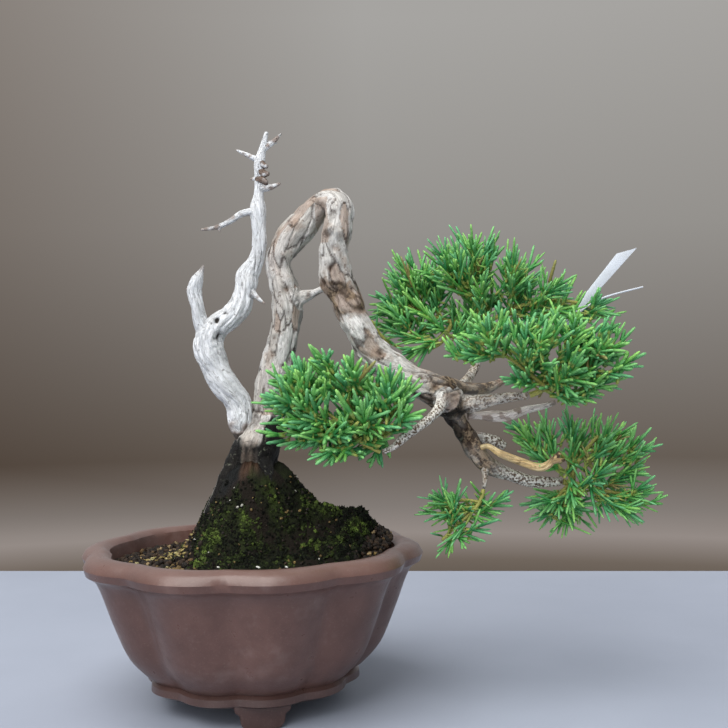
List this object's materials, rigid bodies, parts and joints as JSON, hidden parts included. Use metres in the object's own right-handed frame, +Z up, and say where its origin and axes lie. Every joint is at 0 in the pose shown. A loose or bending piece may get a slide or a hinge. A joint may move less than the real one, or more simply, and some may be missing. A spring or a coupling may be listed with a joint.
{
  "type": "shimpaku juniper bonsai",
  "caption": "Small semi-cascade juniper with a hairpin trunk, bleached deadwood and airy green pads, in a lobed round pot on low feet.",
  "frame": {"origin": "middle of the whole model's box, at the level of the table under the pot's feet", "axes": "+Z up, +Y away from the picture's viewer, +X to the viewer's right, where the foliage reaches out"},
  "size_m": [0.206, 0.118, 0.2024],
  "materials": {
    "stoneware": "satin",
    "net_plastic": "matte",
    "soil": "matte",
    "moss": "matte",
    "bark": "matte",
    "bleached_wood": "matte",
    "peeled_wood": "matte",
    "foliage": "satin",
    "label": "satin"
  },
  "bodies": {
    "root": {"pot": "stoneware", "drain_mesh": "net_plastic", "soil": "soil", "moss_mound": "moss", "live_trunk": "bark", "deadwood": "bleached_wood", "jin_pale": "bleached_wood", "jin_tan": "peeled_wood", "spray_front": "foliage", "spray_back": "foliage", "spray_right": "foliage", "spray_lower": "foliage", "spray_hanging": "foliage", "plant_tag": "label"}
  },
  "joints": []
}
